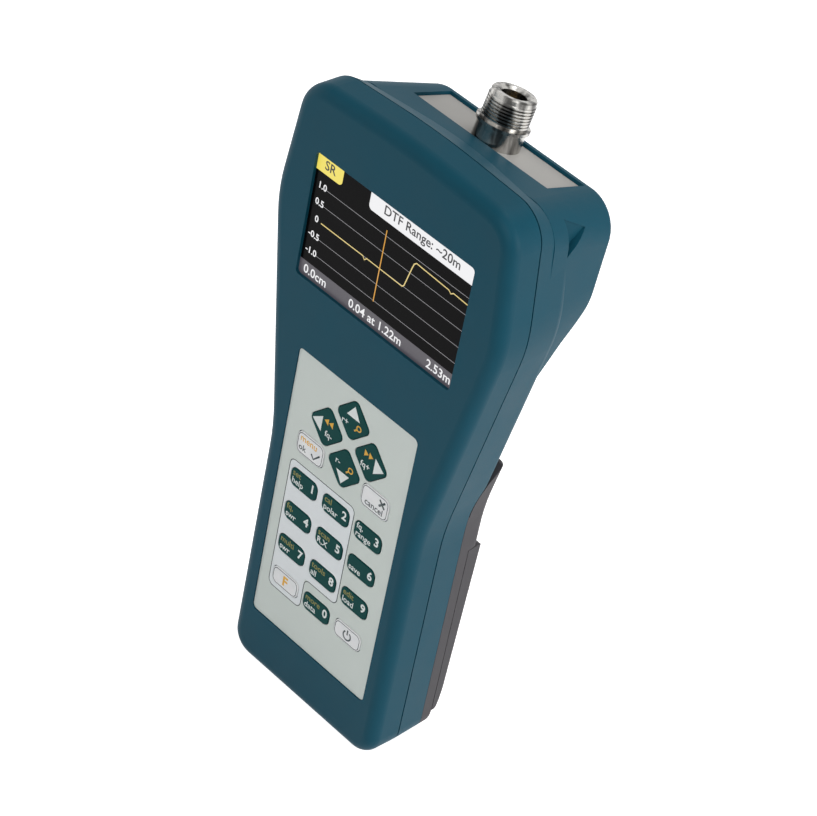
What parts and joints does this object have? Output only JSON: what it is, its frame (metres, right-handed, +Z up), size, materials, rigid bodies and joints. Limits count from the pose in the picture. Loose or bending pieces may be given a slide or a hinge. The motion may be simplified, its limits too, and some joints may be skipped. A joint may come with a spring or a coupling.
{
  "type": "handheld antenna analyzer",
  "caption": "Handheld antenna analyzer with a colour screen over a keypad, a leaning threaded coaxial socket on its roof and a clip-on battery pack behind.",
  "frame": {"origin": "on the ground, under the middle of the bounding box, the case standing on its bottom end", "axes": "+Z up along the case from its bottom end to the socket, +X to the right of someone facing the screen, +Y from the screen to the back"},
  "size_m": [0.1036, 0.053, 0.2362],
  "materials": {
    "case": "matt, fine grain",
    "pack": "matt, fine grain",
    "seal": "matt",
    "foam": "matt",
    "window": "clear, glossy",
    "display": "glossy",
    "label": "satin",
    "key_green": "matt",
    "key_white": "matt",
    "mat": "matt",
    "board": "satin",
    "chip": "matt",
    "flex": "satin",
    "insulator": "matt",
    "nickel": "bright",
    "brass": "bright",
    "tin": "satin",
    "steel": "satin",
    "panel": "satin",
    "cell": "glossy sleeve"
  },
  "bodies": {
    "case": {"front_shell": "case", "rear_shell": "case", "case_gasket": "seal", "screen_window": "window", "window_gasket": "foam", "display_module": "display", "display_bracket": "tin", "keypad_overlay": "label", "key_mat": "mat", "keypad_board": "board", "main_board": "board", "board_chips": "chip", "board_spacers": "brass", "board_screws": "steel", "rf_shield": "tin", "rf_link": "brass", "buzzer": "chip", "usb_socket": "tin", "display_flex": "flex", "keypad_header": "chip", "connector_body": "nickel", "connector_insulator": "insulator", "connector_contact": "brass", "connector_washer": "nickel", "connector_nut": "nickel", "top_panel": "panel", "panel_screws": "steel", "battery_housing": "pack", "battery_cell_1": "cell", "battery_cell_2": "cell", "battery_cell_3": "cell", "contact_springs": "tin", "contact_plates": "tin", "battery_straps": "tin", "case_screws": "steel", "housing_screws": "steel"},
    "key_0": {"key_0": "key_green"},
    "key_1": {"key_1": "key_green"},
    "key_2": {"key_2": "key_green"},
    "key_3": {"key_3": "key_green"},
    "key_4": {"key_4": "key_green"},
    "key_5": {"key_5": "key_green"},
    "key_6": {"key_6": "key_green"},
    "key_7": {"key_7": "key_green"},
    "key_8": {"key_8": "key_green"},
    "key_9": {"key_9": "key_green"},
    "key_shift": {"key_shift": "key_green"},
    "key_power": {"key_power": "key_green"},
    "key_ok": {"key_ok": "key_white"},
    "key_cancel": {"key_cancel": "key_white"},
    "key_up": {"key_up": "key_green"},
    "key_down": {"key_down": "key_green"},
    "key_left": {"key_left": "key_green"},
    "key_right": {"key_right": "key_green"},
    "battery_cover": {"battery_cover": "pack"}
  },
  "joints": [
    {"name": "key_0_press", "type": "slide", "parent": "case", "child": "key_0", "axis": [0, 1, 0], "range_m": [0, 0.0003], "stiffness_N_per_m": 2000},
    {"name": "key_1_press", "type": "slide", "parent": "case", "child": "key_1", "axis": [0, 1, 0], "range_m": [0, 0.0003], "stiffness_N_per_m": 2000},
    {"name": "key_2_press", "type": "slide", "parent": "case", "child": "key_2", "axis": [0, 1, 0], "range_m": [0, 0.0003], "stiffness_N_per_m": 2000},
    {"name": "key_3_press", "type": "slide", "parent": "case", "child": "key_3", "axis": [0, 1, 0], "range_m": [0, 0.0003], "stiffness_N_per_m": 2000},
    {"name": "key_4_press", "type": "slide", "parent": "case", "child": "key_4", "axis": [0, 1, 0], "range_m": [0, 0.0003], "stiffness_N_per_m": 2000},
    {"name": "key_5_press", "type": "slide", "parent": "case", "child": "key_5", "axis": [0, 1, 0], "range_m": [0, 0.0003], "stiffness_N_per_m": 2000},
    {"name": "key_6_press", "type": "slide", "parent": "case", "child": "key_6", "axis": [0, 1, 0], "range_m": [0, 0.0003], "stiffness_N_per_m": 2000},
    {"name": "key_7_press", "type": "slide", "parent": "case", "child": "key_7", "axis": [0, 1, 0], "range_m": [0, 0.0003], "stiffness_N_per_m": 2000},
    {"name": "key_8_press", "type": "slide", "parent": "case", "child": "key_8", "axis": [0, 1, 0], "range_m": [0, 0.0003], "stiffness_N_per_m": 2000},
    {"name": "key_9_press", "type": "slide", "parent": "case", "child": "key_9", "axis": [0, 1, 0], "range_m": [0, 0.0003], "stiffness_N_per_m": 2000},
    {"name": "key_shift_press", "type": "slide", "parent": "case", "child": "key_shift", "axis": [0, 1, 0], "range_m": [0, 0.0003], "stiffness_N_per_m": 2000},
    {"name": "key_power_press", "type": "slide", "parent": "case", "child": "key_power", "axis": [0, 1, 0], "range_m": [0, 0.0003], "stiffness_N_per_m": 2000},
    {"name": "key_ok_press", "type": "slide", "parent": "case", "child": "key_ok", "axis": [0, 1, 0], "range_m": [0, 0.0003], "stiffness_N_per_m": 2000},
    {"name": "key_cancel_press", "type": "slide", "parent": "case", "child": "key_cancel", "axis": [0, 1, 0], "range_m": [0, 0.0003], "stiffness_N_per_m": 2000},
    {"name": "key_up_press", "type": "slide", "parent": "case", "child": "key_up", "axis": [0, 1, 0], "range_m": [0, 0.0003], "stiffness_N_per_m": 2000},
    {"name": "key_down_press", "type": "slide", "parent": "case", "child": "key_down", "axis": [0, 1, 0], "range_m": [0, 0.0003], "stiffness_N_per_m": 2000},
    {"name": "key_left_press", "type": "slide", "parent": "case", "child": "key_left", "axis": [0, 1, 0], "range_m": [0, 0.0003], "stiffness_N_per_m": 2000},
    {"name": "key_right_press", "type": "slide", "parent": "case", "child": "key_right", "axis": [0, 1, 0], "range_m": [0, 0.0003], "stiffness_N_per_m": 2000},
    {"name": "battery_cover_slide", "type": "slide", "parent": "case", "child": "battery_cover", "axis": [0, 1, 0], "range_m": [0, 0.02]}
  ]
}
